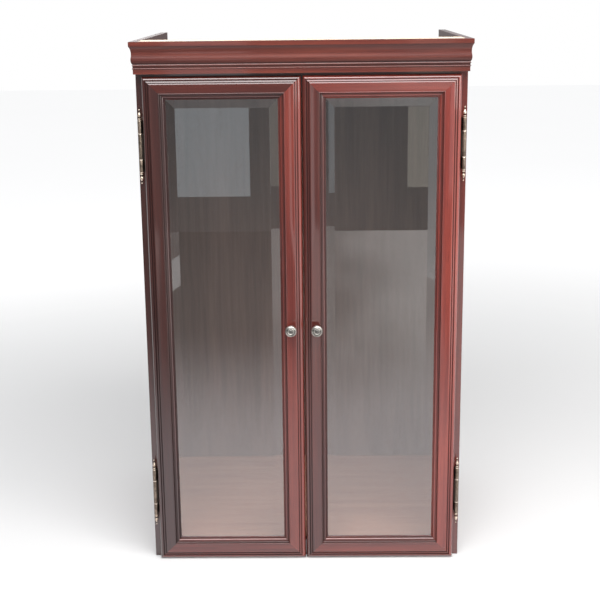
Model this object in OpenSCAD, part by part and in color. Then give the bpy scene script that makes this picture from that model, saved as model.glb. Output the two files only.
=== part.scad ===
// Two-door display armoire with mitred, moulded door frames, bevelled glass and steeple-tip hinges.
// Millimetres. X runs to the right, Y to the back and Z up; the origin is the centre of the footprint.

/* [Carcass] */
// Height from the floor to the top of the crown
overall_h = 1400; // [1150:10:1800]
// Width across the two side panels
carcass_w = 832; // [700:4:1100]
// Depth of the carcass, from its front frame to its back
carcass_d = 588; // [360:4:650]
// Thickness of a side panel
panel_t = 22; // [20:1:28]
// Thickness of the top and bottom boards
board_t = 19; // [16:1:24]
// Thickness of the back panel
back_t = 6; // [4:1:10]
// Depth of the housing that each end of the bottom board sits in
housing_d = 6; // [4:1:9]

/* [Front frame] */
// Width of an upright of the front frame
frame_stile_w = 48; // [46:1:60]
// Height of the top rail of the front frame
frame_top_h = 52; // [40:1:56]
// Height of the bottom rail of the front frame, up to the bottom board's face
frame_bottom_h = 45; // [40:1:60]
// Thickness of the front frame
frame_t = 20; // [18:1:26]

/* [Crown] */
// Height of the crown moulding
crown_h = 80; // [76:1:110]
// Thickness of the crown moulding at its foot
crown_t = 12; // [12:1:16]
// How far the top of the crown stands out past its foot
crown_flare = 8; // [6:1:14]
// How far the foot of the crown stands in front of the doors
crown_front_proud = 7; // [3:1:12]
// How far the foot of the crown stands out past a side panel
crown_side_proud = 1; // [0:0.5:4]
// Width of the flat stiffener behind the crown's top edge
stiffener_w = 85; // [60:1:120]
// Leg of a corner block inside the crown
block_leg = 46; // [30:1:70]

/* [Doors] */
// Thickness of a door
door_t = 24; // [24:1:28]
// Width of the moulded door frame, from the door's edge to the glass opening
member_w = 58; // [55:1:66]
// Strip of the carcass left showing beside each door
door_reveal = 16.5; // [15.5:0.5:20]
// Gap between the two doors
centre_gap = 3.5; // [3:0.5:6]
// Gap between the doors and the floor
floor_gap = 3; // [3:0.5:12]
// Gap between the doors and the crown
top_gap = 7; // [5:0.5:12]
// Gap between the back of a closed door and the carcass
door_standoff = 1.5; // [1.5:0.1:2.5]

/* [Glass] */
// Thickness of the glass
glass_t = 6; // [5:0.5:7]
// Thickness left at the edge of the glass
glass_edge_t = 2.5; // [2:0.5:3.5]
// Width of the bevel, measured from the edge of the glass
bevel_w = 30; // [22:1:40]
// Width of the rebate that the glass sits in
rebate_w = 9; // [7:1:11]
// Side clearance between the glass and its rebate
glass_clear = 1; // [0.5:0.1:1.5]

/* [Hinges] */
// Radius of the hinge barrel
barrel_r = 4.4; // [4:0.1:5]
// Length of the hinge barrel
barrel_h = 130; // [90:2:180]
// Length of an outer knuckle
outer_knuckle_h = 32; // [20:1:40]
// Radius of the hinge pin
pin_r = 2.5; // [2:0.1:2.8]
// Length of a turned tip
tip_h = 30; // [20:1:36]
// Thickness of a hinge leaf
leaf_t = 2; // [1.5:0.1:2.5]
// Width of the frame leaf, inwards from the barrel
frame_leaf_w = 34; // [28:1:36]
// Distance of the barrel's centre from the door's edge
hinge_offset = 9; // [7.5:0.5:10.5]
// Depth of the barrel's centre behind the door's face
hinge_set = 11; // [11:0.5:12]
// Height of the lower hinge's middle above the floor
lower_hinge_z = 195; // [150:5:300]
// Distance of the upper hinge's middle below the crown
upper_hinge_drop = 182; // [140:5:300]
// Radial clearance of the pin in its knuckles
pin_clear = 0.05; // [0.02:0.01:0.1]
// Gap between two knuckles
knuckle_gap = 0.3; // [0.2:0.05:0.6]

/* [Knobs and catch] */
// Diameter of a knob
knob_d = 30; // [24:1:36]
// Distance from the door's face to the front of the knob
knob_proj = 30; // [24:1:36]
// Height of the knobs above the floor
knob_z = 659; // [500:1:800]
// Distance from the inner edge of a door to the middle of its knob
knob_in = 32; // [28:0.5:32]
// Radius of the rose under a knob
rose_r = 8.5; // [7:0.5:8.5]
// Width of the double magnetic catch
catch_w = 46; // [40:1:60]
// Height of the catch
catch_h = 12; // [10:1:16]
// Depth of the catch
catch_d = 20; // [16:1:26]

/* [Hidden] */
$fn = 64;
ARC_STEPS = 10;

// Heights
crown_z = overall_h - crown_h;
door_z0 = floor_gap;
door_z1 = crown_z - top_gap;
upper_hinge_z = crown_z - upper_hinge_drop;
rail_z0 = crown_z - frame_top_h;

// Depths, from the front of the knobs to the back
total_d = knob_proj + door_t + door_standoff + carcass_d;
y_door = knob_proj - total_d / 2;
y_door_back = y_door + door_t;
y_frame = y_door_back + door_standoff;
y_panel = y_frame + frame_t;
y_back = total_d / 2;
y_crown = y_door - crown_front_proud;
y_crown_back = y_crown + crown_t;

// Widths
half_w = carcass_w / 2;
inner_x = half_w - panel_t;
crown_x = half_w + crown_side_proud;
crown_inner_x = crown_x - crown_t;
door_x0 = centre_gap / 2;
door_x1 = half_w - door_reveal;
door_w = door_x1 - door_x0;
knob_x = door_x0 + knob_in;
back_lap = panel_t / 2;

// Hinge
hinge_x = door_x1 + hinge_offset;
hinge_y = y_door + hinge_set;
bore_r = pin_r + pin_clear;
mid_knuckle_h = barrel_h - 2 * outer_knuckle_h;
screw_head_r = 3.4;
screw_core_r = 1.6;
screw_l = 14;
screw_pitch = 46;
// The frame leaf's screws stand this far in from the barrel
frame_screw_in = 22;
// Spigot at the foot of the pin, which the lower tip is pressed on to
spigot_r = 1.3;
spigot_l = 6;

// Glass, by depth behind the door's face
lip_back = 14;
bevel_drop = glass_t - glass_edge_t;
lap = rebate_w - glass_clear;
glass_back = lip_back + glass_edge_t + lap * bevel_drop / bevel_w + 0.1;
bead_t = door_t - glass_back;

// Fasteners and small fittings
knob_stem_r = 5.5;
rose_t = 3;
knob_screw_r = 2;
knob_screw_head_r = 4.2;
knob_screw_head_t = 2.4;
// Depth of the pocket for the screw's head, and its clearance
knob_pocket = 3;
knob_pocket_clear = 0.2;
knob_head_t = 13;
magnet_w = 14;
magnet_h = 7;
strike_t = 1.2;
strike_w = 18;
strike_h = 12;
strike_x = 13;
// Distance of each catch screw from the ends of the catch's depth
catch_screw_inset = 5.5;
catch_screw_bite = 10;
bumper_r = 4;
bumper_t = 1.1;
bumper_inset = 28;

// ---------- shared outlines ----------

// Points of an arc about (cx, cy), from angle a0 to a1
function arc(cx, cy, r, a0, a1, n = ARC_STEPS) =
    [for (i = [0:n]) let (a = a0 + (a1 - a0) * i / n) [cx + r * cos(a), cy + r * sin(a)]];

// Points of an elliptical arc with radii rx and ry
function oval_arc(cx, cy, rx, ry, a0, a1, n = ARC_STEPS) =
    [for (i = [0:n]) let (a = a0 + (a1 - a0) * i / n) [cx + rx * cos(a), cy + ry * sin(a)]];

// Section of a door frame member. x runs in from the door's edge, y runs back from its face.
edge_round = [8.5, 9];
edge_bead_r = 1.5;
edge_cove = 4;
face_set = 0.6;
sight_w = 17;
sight_bead_r = 1.3;
function member_section() = concat(
    [[0, door_t]],
    oval_arc(edge_round.x, edge_round.y + 1, edge_round.x, edge_round.y, 180, 270),
    arc(edge_round.x + edge_bead_r, edge_bead_r, edge_bead_r, 200, 340),
    arc(edge_round.x + 2 * edge_bead_r + edge_cove / 2, edge_bead_r / 2, edge_cove / 2, 165, 15),
    arc(edge_round.x + 3 * edge_bead_r + edge_cove, edge_bead_r, edge_bead_r, 215, 290),
    [[edge_round.x + 4 * edge_bead_r + edge_cove, face_set], [member_w - sight_w, face_set]],
    arc(member_w - sight_w + sight_bead_r, sight_bead_r, sight_bead_r, 210, 340),
    oval_arc(member_w - 7.5, 2, 6.4, 5.6, 180, 95),
    arc(member_w - 6.4, 8.2, 1.2, 190, 330),
    oval_arc(member_w - 5, 13.4, 5, 4.4, 275, 350),
    [[member_w, lip_back], [member_w - rebate_w, lip_back], [member_w - rebate_w, door_t]]
);

// Section of the crown. x runs out from its foot's face, y runs up from its foot.
crown_bead_r = 1.5;
crown_bead_z = [14, 22];
crown_fillet_h = 12;
// The sweep is a swell below that turns smoothly into a hollow above
swell_at = [0.6, 36];
swell_r = [3.4, 10];
swell_end = 33;
hollow_at = [2.56, 50];
hollow_rise = 64;
hollow_step = 0.2;
hollow_r = [(crown_flare - hollow_step - hollow_at.x) / (1 - cos(hollow_rise)),
            (crown_h - crown_fillet_h - hollow_at.y) / sin(hollow_rise)];
hollow_start = asin((hollow_at.y - swell_at.y - swell_r.y * sin(swell_end)) / hollow_r.y);
function crown_section() = concat(
    [[-crown_t, 0], [0, 0], [0, 12.5]],
    arc(0.4, crown_bead_z[0], crown_bead_r, -90, 80),
    [[0.2, 20.5]],
    arc(0.4, crown_bead_z[1], crown_bead_r, -80, 90),
    [[0.4, 24.5]],
    oval_arc(swell_at.x, swell_at.y, swell_r.x, swell_r.y, -75, swell_end),
    oval_arc(hollow_at.x + hollow_r.x, hollow_at.y, hollow_r.x, hollow_r.y,
             180 + hollow_start, 180 - hollow_rise),
    [[crown_flare, crown_h - crown_fillet_h + 0.4], [crown_flare, crown_h - 1],
     [crown_flare - 1, crown_h], [-crown_t, crown_h]]
);

// ---------- helpers ----------

// A box between two corners
module slab(x, y, z) {
    translate([x[0], y[0], z[0]]) cube([x[1] - x[0], y[1] - y[0], z[1] - z[0]]);
}

// The child as it is drawn on the right, or mirrored to the left
module on_side(side) {
    if (side < 0) mirror([1, 0, 0]) children();
    else children();
}

// A flat shape drawn in X and Z, given depth in Y
module front_plate(y0, y1) {
    translate([0, y1, 0]) rotate([90, 0, 0]) linear_extrude(y1 - y0) children();
}

// Countersunk screw pointing along +Y with its head face at the origin
module screw(l = screw_l) {
    rotate([-90, 0, 0]) union() {
        cylinder(h = screw_head_r - screw_core_r, r1 = screw_head_r, r2 = screw_core_r);
        cylinder(h = l, r = screw_core_r);
    }
}

// ---------- carcass ----------

module side_panel(side) {
    color("#5a2220") on_side(side) difference() {
        slab([inner_x, half_w], [y_panel, y_back], [0, crown_z]);
        slab([inner_x - 1, inner_x + housing_d], [y_panel - 1, y_back - back_t],
             [frame_bottom_h - board_t, frame_bottom_h]);
        slab([inner_x - 1, inner_x + back_lap], [y_back - back_t, y_back + 1], [-1, crown_z + 1]);
    }
}

module top_board() {
    color("#6b2d28")
        slab([-crown_inner_x, crown_inner_x], [y_crown_back, y_back], [crown_z, crown_z + board_t]);
}

module bottom_board() {
    half = inner_x + housing_d;
    color("#8a5a45")
        slab([-half, half], [y_panel, y_back - back_t], [frame_bottom_h - board_t, frame_bottom_h]);
}

module back_panel() {
    half = inner_x + back_lap;
    color("#4a1d1a") slab([-half, half], [y_back - back_t, y_back], [0, crown_z]);
}

// ---------- front frame ----------

// The shallow pocket that a frame leaf lies in, drawn on the right
module frame_leaf_pocket(zc) {
    slab([hinge_x - frame_leaf_w, hinge_x + leaf_t / 2], [y_frame - 1, y_frame + leaf_t],
         [zc - barrel_h / 2, zc + barrel_h / 2]);
}

// The holes for one frame leaf's screws, drawn on the right
module frame_screw_places(zc) {
    for (i = [-1:1]) translate([hinge_x - frame_screw_in, y_frame, zc + i * screw_pitch]) children();
}

module frame_stile(side) {
    color("#6b2d28") on_side(side) difference() {
        slab([half_w - frame_stile_w, half_w], [y_frame, y_panel], [0, crown_z]);
        for (zc = [lower_hinge_z, upper_hinge_z]) {
            frame_leaf_pocket(zc);
            frame_screw_places(zc) screw();
        }
    }
}

module frame_top_rail() {
    half = half_w - frame_stile_w;
    color("#6b2d28") difference() {
        slab([-half, half], [y_frame, y_panel], [rail_z0, crown_z]);
        catch_screw_places() screw(catch_h + catch_screw_bite);
    }
}

module frame_bottom_rail() {
    half = half_w - frame_stile_w;
    color("#6b2d28") slab([-half, half], [y_frame, y_panel], [0, frame_bottom_h]);
}

// ---------- crown ----------

module crown_front() {
    reach = crown_x + crown_flare;
    color("#8a3a33") intersection() {
        translate([-reach - 1, y_crown, crown_z]) rotate([90, 0, 90])
            linear_extrude(2 * reach + 2) mirror([1, 0]) polygon(crown_section());
        // Mitred ends, seen from above
        translate([0, 0, crown_z - 1]) linear_extrude(crown_h + 2)
            polygon([[-reach, y_crown - crown_flare], [reach, y_crown - crown_flare],
                     [crown_inner_x, y_crown_back], [-crown_inner_x, y_crown_back]]);
    }
}

module crown_return(side) {
    color("#8a3a33") on_side(side) intersection() {
        translate([crown_x, y_back, crown_z]) rotate([90, 0, 0])
            linear_extrude(y_back - y_crown + crown_flare + 1) polygon(crown_section());
        translate([0, 0, crown_z - 1]) linear_extrude(crown_h + 2)
            polygon([[crown_inner_x, y_crown_back], [crown_x + crown_flare, y_crown - crown_flare],
                     [crown_x + crown_flare + 1, y_crown - crown_flare], [crown_x + crown_flare + 1, y_back],
                     [crown_inner_x, y_back]]);
    }
}

module crown_stiffener() {
    color("#e0c8ae") slab([-crown_inner_x, crown_inner_x], [y_crown_back, y_crown_back + stiffener_w],
                          [overall_h - board_t, overall_h]);
}

module corner_block(side) {
    color("#caa582") on_side(side) translate([0, 0, crown_z + board_t])
        linear_extrude(crown_h - 2 * board_t)
            polygon([[crown_inner_x, y_crown_back], [crown_inner_x, y_crown_back + block_leg],
                     [crown_inner_x - block_leg, y_crown_back]]);
}

// ---------- door frames, drawn as the right door ----------

door_mid_x = (door_x0 + door_x1) / 2;
door_mid_z = (door_z0 + door_z1) / 2;
door_h = door_z1 - door_z0;

// One moulded member of length len along +Z, its outer edge on X = 0 and its ends cut at 45 degrees
module mitred_member(len) {
    intersection() {
        translate([0, 0, -len / 2]) linear_extrude(len) polygon(member_section());
        translate([0, -1, 0]) front_plate(0, door_t + 2)
            polygon([[-1, len / 2 + 1], [member_w + 1, len / 2 - member_w - 1],
                     [member_w + 1, member_w + 1 - len / 2], [-1, -len / 2 - 1]]);
    }
}

// The pocket for a door leaf in the door's outer edge
module door_leaf_pocket(zc) {
    slab([door_x1 - leaf_t, door_x1 + 1], [hinge_y - leaf_t / 2, y_door_back + 1],
         [zc - barrel_h / 2, zc + barrel_h / 2]);
}

// The places of one door leaf's screws, pointing into the door's edge
module door_screw_places(zc) {
    for (i = [-1:1]) translate([door_x1, (hinge_y + y_door_back) / 2, zc + i * screw_pitch])
        rotate([0, 0, 90]) children();
}

module door_hinge_stile() {
    color("#7d332c") difference() {
        translate([door_x1, y_door, door_mid_z]) mirror([1, 0, 0]) mitred_member(door_h);
        for (zc = [lower_hinge_z, upper_hinge_z]) {
            door_leaf_pocket(zc);
            door_screw_places(zc) screw();
        }
    }
}

module door_meeting_stile() {
    color("#7d332c") difference() {
        translate([door_x0, y_door, door_mid_z]) mitred_member(door_h);
        knob_hole();
    }
}

module door_top_rail() {
    color("#7d332c") translate([door_mid_x, y_door, door_z1]) rotate([0, 90, 0]) mitred_member(door_w);
}

module door_bottom_rail() {
    color("#7d332c") translate([door_mid_x, y_door, door_z0]) rotate([0, -90, 0]) mitred_member(door_w);
}

// The bore for the knob's screw, drawn on the right
module knob_hole() {
    translate([knob_x, y_door - 1, knob_z]) rotate([-90, 0, 0]) cylinder(h = door_t + 2, r = knob_screw_r);
    translate([knob_x, y_door_back - knob_pocket, knob_z]) rotate([-90, 0, 0])
        cylinder(h = knob_pocket + 1, r = knob_screw_head_r + knob_pocket_clear);
}

// ---------- glass and its beads, drawn as the right door ----------

glass_w = door_w - 2 * (member_w - lap);
glass_h = door_h - 2 * (member_w - lap);

// Section across the glass: flat at the back, bevelled at the front
function glass_section(w) = [
    [-w / 2, glass_back], [-w / 2, glass_back - glass_edge_t], [bevel_w - w / 2, glass_back - glass_t],
    [w / 2 - bevel_w, glass_back - glass_t], [w / 2, glass_back - glass_edge_t], [w / 2, glass_back]
];

module door_glass() {
    color("#9fb0ae", 0.35) translate([door_mid_x, y_door, door_mid_z]) intersection() {
        translate([0, 0, -glass_h / 2]) linear_extrude(glass_h) polygon(glass_section(glass_w));
        rotate([0, 90, 0]) translate([0, 0, -glass_w / 2])
            linear_extrude(glass_w) polygon(glass_section(glass_h));
    }
}

// One mitred glass bead of length len along Z, its outer edge on X = 0
module glass_bead(len) {
    front_plate(glass_back, door_t)
        polygon([[0, -len / 2], [0, len / 2], [lap, len / 2 - lap], [lap, lap - len / 2]]);
}

module side_glass_beads() {
    color("#6b2d28") translate([door_mid_x, y_door, door_mid_z]) for (side = [-1, 1])
        on_side(side) translate([-glass_w / 2, 0, 0]) glass_bead(glass_h);
}

module cross_glass_beads() {
    color("#6b2d28") translate([door_mid_x, y_door, door_mid_z]) for (turn = [90, -90])
        rotate([0, turn, 0]) translate([-glass_h / 2, 0, 0]) glass_bead(glass_w);
}

// ---------- hinges, drawn on the right ----------

// A knuckle of the barrel between two heights
module knuckle(z0, z1) {
    translate([hinge_x, hinge_y, z0]) difference() {
        cylinder(h = z1 - z0, r = barrel_r);
        translate([0, 0, -1]) cylinder(h = z1 - z0 + 2, r = bore_r);
    }
}

// Bottom and top of the outer knuckles of a hinge whose middle is at zc
function outer_spans(zc) = [
    [zc - barrel_h / 2, zc - barrel_h / 2 + outer_knuckle_h],
    [zc + barrel_h / 2 - outer_knuckle_h, zc + barrel_h / 2]
];

web_in = barrel_r - 1;

module frame_leaf(zc) {
    color("#7a5f35") difference() {
        union() {
            for (span = outer_spans(zc)) {
                knuckle(span[0], span[1]);
                slab([hinge_x - leaf_t / 2, hinge_x + leaf_t / 2],
                     [hinge_y + web_in, y_frame + leaf_t], span);
            }
            slab([hinge_x - frame_leaf_w, hinge_x + leaf_t / 2], [y_frame, y_frame + leaf_t],
                 [zc - barrel_h / 2, zc + barrel_h / 2]);
        }
        frame_screw_places(zc) screw();
    }
}

module door_leaf(zc) {
    half = mid_knuckle_h / 2 - knuckle_gap;
    color("#7a5f35") difference() {
        union() {
            knuckle(zc - half, zc + half);
            slab([door_x1 - leaf_t, hinge_x - web_in], [hinge_y - leaf_t / 2, hinge_y + leaf_t / 2],
                 [zc - half, zc + half]);
            slab([door_x1 - leaf_t, door_x1], [hinge_y - leaf_t / 2, y_door_back],
                 [zc - barrel_h / 2, zc + barrel_h / 2]);
        }
        door_screw_places(zc) screw();
    }
}

// Outline of a turned tip: collar, ring, vase and point, all above Z = 0
tip_neck_r = 2.2;
tip_ring_r = 3.8;
tip_vase_r = 4.2;
tip_bead_r = 1.7;
tip_waist_r = 0.9;
// Heights of the collar, neck, ring, waist, vase and taper, as shares of the tip's length
tip_marks = [0.05, 0.085, 0.175, 0.27, 0.48, 0.7];
tip_heights = tip_h * tip_marks;
tip_ring_half = 0.05 * tip_h;
tip_vase_half = 0.16 * tip_h;
function tip_section() = concat(
    [[0, 0], [barrel_r + 0.4, 0], [barrel_r + 0.4, tip_heights[0]], [tip_neck_r + 0.4, tip_heights[1]]],
    oval_arc(tip_neck_r, tip_heights[2], tip_ring_r - tip_neck_r, tip_ring_half, -80, 80),
    [[tip_neck_r, tip_heights[3]]],
    oval_arc(0, tip_heights[4], tip_vase_r, tip_vase_half, -58, 42),
    [[tip_bead_r, tip_heights[5]], [tip_waist_r, tip_h - 3 * tip_bead_r]],
    arc(0, tip_h - tip_bead_r, tip_bead_r, -50, 90)
);

module turned_tip() {
    rotate_extrude() polygon(tip_section());
}

module hinge_pin(zc) {
    color("#7a5f35") translate([hinge_x, hinge_y, zc]) {
        translate([0, 0, -barrel_h / 2]) cylinder(h = barrel_h, r = pin_r);
        translate([0, 0, -barrel_h / 2 - spigot_l]) cylinder(h = spigot_l, r = spigot_r);
        translate([0, 0, barrel_h / 2]) turned_tip();
    }
}

module hinge_lower_tips() {
    color("#7a5f35") for (side = [-1, 1], zc = [lower_hinge_z, upper_hinge_z])
        on_side(side) translate([hinge_x, hinge_y, zc - barrel_h / 2]) mirror([0, 0, 1]) difference() {
            turned_tip();
            translate([0, 0, -1]) cylinder(h = spigot_l + 1, r = spigot_r);
        }
}

module frame_leaf_screws() {
    color("#8a6f45") for (side = [-1, 1], zc = [lower_hinge_z, upper_hinge_z])
        on_side(side) frame_screw_places(zc) screw();
}

module door_leaf_screws() {
    color("#8a6f45") for (zc = [lower_hinge_z, upper_hinge_z]) door_screw_places(zc) screw();
}

// ---------- knobs, drawn on the right ----------

// The child turned about the knob's axis, with Z running out from the door's face
module on_knob_axis(out = 0) {
    translate([knob_x, y_door + face_set - out, knob_z]) rotate([90, 0, 0]) children();
}

// Outline of the knob: stem, back, rim, groove, ring and button
knob_r = knob_d / 2;
knob_len = knob_proj + face_set;
knob_bore_end = knob_len - knob_head_t - 4;
function knob_section() = concat(
    [[0, rose_t], [knob_stem_r, rose_t], [knob_stem_r - 1, knob_len - knob_head_t - 2],
     [knob_stem_r + 1, knob_len - knob_head_t]],
    oval_arc(knob_r - 4, knob_len - 6, 4, 6, -75, 80),
    [[knob_r - 4, knob_len - 0.4], [knob_r - 4.6, knob_len - 2.2], [knob_r - 5.4, knob_len - 2.2]],
    oval_arc(knob_r - 7.2, knob_len - 2.2, 1.6, 1.6, 0, 180),
    [[knob_r - 9.2, knob_len - 2.8]],
    oval_arc(0, knob_len - 2.8, knob_r - 9.6, 2.8, 0, 90)
);

module knob() {
    color("#5d5a4e") on_knob_axis() difference() {
        rotate_extrude() polygon(knob_section());
        translate([0, 0, rose_t - 1]) cylinder(h = knob_bore_end - rose_t + 1, r = knob_screw_r);
    }
}

module knob_rose() {
    color("#5d5a4e") on_knob_axis() difference() {
        cylinder(h = rose_t, r1 = rose_r, r2 = rose_r - 2);
        translate([0, 0, -1]) cylinder(h = rose_t + 2, r = knob_screw_r);
    }
}

module knob_screw() {
    color("#b5b5b0") translate([knob_x, y_door_back - knob_pocket, knob_z]) rotate([90, 0, 0]) union() {
        translate([0, 0, -knob_screw_head_t]) cylinder(h = knob_screw_head_t, r = knob_screw_head_r);
        cylinder(h = door_t - knob_pocket - face_set + knob_bore_end, r = knob_screw_r);
    }
}

// ---------- catch, strikes and bumpers ----------

module catch_body() {
    color("#2c2622") difference() {
        slab([-catch_w / 2, catch_w / 2], [y_frame, y_frame + catch_d], [rail_z0 - catch_h, rail_z0]);
        for (side = [-1, 1]) on_side(side) magnet_space(1);
        catch_screw_places() screw(catch_h + 1);
    }
}

// The places of the catch's screws, pointing up into the rail
module catch_screw_places() {
    for (y = [catch_screw_inset, catch_d - catch_screw_inset])
        translate([0, y_frame + y, rail_z0 - catch_h]) rotate([90, 0, 0]) children();
}

// The room of one magnet, drawn on the right, standing out in front of the catch
module magnet_space(proud) {
    slab([strike_x - magnet_w / 2, strike_x + magnet_w / 2], [y_frame - proud, y_frame + catch_d - 4],
         [rail_z0 - (catch_h + magnet_h) / 2, rail_z0 - (catch_h - magnet_h) / 2]);
}

module catch_magnets() {
    color("#8c8c8c") for (side = [-1, 1]) on_side(side) magnet_space(0);
}

module catch_screws() {
    color("#b5b5b0") catch_screw_places() screw(catch_h + catch_screw_bite);
}

module strike_plate() {
    color("#b5b5b0") slab([strike_x - strike_w / 2, strike_x + strike_w / 2],
                          [y_door_back, y_door_back + strike_t],
                          [rail_z0 - (catch_h + strike_h) / 2, rail_z0 - (catch_h - strike_h) / 2]);
}

module door_bumpers() {
    color("#d8d2c4") for (z = [(door_z0 + frame_bottom_h) / 2, (rail_z0 + door_z1) / 2])
        translate([door_x0 + bumper_inset, y_door_back, z]) rotate([-90, 0, 0])
            cylinder(h = bumper_t, r = bumper_r);
}

side_panel(-1);  // left_side_panel
side_panel(1);  // right_side_panel
top_board();
bottom_board();
back_panel();
frame_stile(-1);  // left_frame_stile
frame_stile(1);  // right_frame_stile
frame_top_rail();
frame_bottom_rail();
crown_front();
crown_return(-1);  // left_crown_return
crown_return(1);  // right_crown_return
crown_stiffener();
corner_block(-1);  // left_corner_block
corner_block(1);  // right_corner_block
on_side(-1) door_hinge_stile();  // left_door_hinge_stile
on_side(-1) door_meeting_stile();  // left_door_meeting_stile
on_side(-1) door_top_rail();  // left_door_top_rail
on_side(-1) door_bottom_rail();  // left_door_bottom_rail
door_hinge_stile();  // right_door_hinge_stile
door_meeting_stile();  // right_door_meeting_stile
door_top_rail();  // right_door_top_rail
door_bottom_rail();  // right_door_bottom_rail
on_side(-1) door_glass();  // left_door_glass
door_glass();  // right_door_glass
on_side(-1) side_glass_beads();  // left_side_glass_beads
on_side(-1) cross_glass_beads();  // left_cross_glass_beads
side_glass_beads();  // right_side_glass_beads
cross_glass_beads();  // right_cross_glass_beads
on_side(-1) frame_leaf(upper_hinge_z);  // left_upper_frame_leaf
on_side(-1) frame_leaf(lower_hinge_z);  // left_lower_frame_leaf
frame_leaf(upper_hinge_z);  // right_upper_frame_leaf
frame_leaf(lower_hinge_z);  // right_lower_frame_leaf
on_side(-1) door_leaf(upper_hinge_z);  // left_upper_door_leaf
on_side(-1) door_leaf(lower_hinge_z);  // left_lower_door_leaf
door_leaf(upper_hinge_z);  // right_upper_door_leaf
door_leaf(lower_hinge_z);  // right_lower_door_leaf
on_side(-1) hinge_pin(upper_hinge_z);  // left_upper_hinge_pin
on_side(-1) hinge_pin(lower_hinge_z);  // left_lower_hinge_pin
hinge_pin(upper_hinge_z);  // right_upper_hinge_pin
hinge_pin(lower_hinge_z);  // right_lower_hinge_pin
hinge_lower_tips();
frame_leaf_screws();
on_side(-1) door_leaf_screws();  // left_door_leaf_screws
door_leaf_screws();  // right_door_leaf_screws
on_side(-1) knob();  // left_knob
knob();  // right_knob
on_side(-1) knob_rose();  // left_knob_rose
knob_rose();  // right_knob_rose
on_side(-1) knob_screw();  // left_knob_screw
knob_screw();  // right_knob_screw
catch_body();
catch_magnets();
catch_screws();
on_side(-1) strike_plate();  // left_strike_plate
strike_plate();  // right_strike_plate
on_side(-1) door_bumpers();  // left_door_bumpers
door_bumpers();  // right_door_bumpers
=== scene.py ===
"""Looks of a two-door display armoire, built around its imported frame.

Every length is in metres and every place comes from the frame, so a piece lies where the design has it.
"""

import logging
import math
import random
from dataclasses import dataclass, replace
from enum import Enum
from typing import Any, Callable, Iterable, Sequence

import bmesh
import bpy
from mathutils import Matrix, Vector


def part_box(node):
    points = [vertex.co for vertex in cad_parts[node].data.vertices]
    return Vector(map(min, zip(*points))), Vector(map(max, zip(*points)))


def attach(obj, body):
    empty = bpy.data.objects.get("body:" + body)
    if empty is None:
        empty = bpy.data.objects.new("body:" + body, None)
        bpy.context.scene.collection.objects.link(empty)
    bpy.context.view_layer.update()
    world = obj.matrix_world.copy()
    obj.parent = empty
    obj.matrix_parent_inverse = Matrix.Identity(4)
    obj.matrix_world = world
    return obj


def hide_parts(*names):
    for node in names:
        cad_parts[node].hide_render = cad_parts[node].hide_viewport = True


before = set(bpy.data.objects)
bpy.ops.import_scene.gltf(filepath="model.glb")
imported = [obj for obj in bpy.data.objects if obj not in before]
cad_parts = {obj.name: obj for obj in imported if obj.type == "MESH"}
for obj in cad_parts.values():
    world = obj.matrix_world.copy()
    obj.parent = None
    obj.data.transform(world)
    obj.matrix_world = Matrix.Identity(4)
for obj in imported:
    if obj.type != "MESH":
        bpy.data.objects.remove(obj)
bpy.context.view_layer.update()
LOG = logging.getLogger("armoire")
MM = 0.001
LEVELS = ("upper", "lower")

Colour = tuple[float, float, float]
Point = tuple[float, float, float]


class Side(Enum):
    """The two doors and what belongs to them, with the sign of X on that side."""

    LEFT = -1
    RIGHT = 1

    @property
    def word(self) -> str:
        """The side's name as it stands in node names."""
        return self.name.lower()

    @property
    def door(self) -> str:
        """The body that this side's door pieces ride on."""
        return f"{self.word}_door"


class Grain(Enum):
    """The direction that the grain of a board runs in."""

    ACROSS = 0
    DEEP = 1
    UP = 2


# ---------------------------------------------------------------- shader graph


class Signal:
    """A shader socket that takes part in ordinary arithmetic on numbers."""

    def __init__(self, graph: "Graph", socket: bpy.types.NodeSocket) -> None:
        """Wraps a socket of the graph's tree."""
        self.graph = graph
        self.socket = socket

    def _math(self, operation: str, first: Any, second: Any = 0.0) -> "Signal":
        """Adds one Math node on two values and returns its result."""
        return self.graph.add("ShaderNodeMath", {"operation": operation}, {0: first, 1: second})

    def __add__(self, other: Any) -> "Signal":
        """The sum."""
        return self._math("ADD", self, other)

    def __radd__(self, other: Any) -> "Signal":
        """The sum, with the number first."""
        return self._math("ADD", other, self)

    def __sub__(self, other: Any) -> "Signal":
        """The difference."""
        return self._math("SUBTRACT", self, other)

    def __rsub__(self, other: Any) -> "Signal":
        """The difference, with the number first."""
        return self._math("SUBTRACT", other, self)

    def __mul__(self, other: Any) -> "Signal":
        """The product."""
        return self._math("MULTIPLY", self, other)

    def __rmul__(self, other: Any) -> "Signal":
        """The product, with the number first."""
        return self._math("MULTIPLY", other, self)

    def absolute(self) -> "Signal":
        """This value without its sign."""
        return self._math("ABSOLUTE", self)

    def clamped(self, low: float = 0.0, high: float = 1.0) -> "Signal":
        """This value held between two limits."""
        return self._math("MINIMUM", self._math("MAXIMUM", self, low), high)

    def stepped(self, start: float, end: float) -> "Signal":
        """A smooth step from 0 at start to 1 at end."""
        settings = {"interpolation_type": "SMOOTHSTEP"}
        return self.graph.add("ShaderNodeMapRange", settings, {0: self, 1: start, 2: end})


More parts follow.
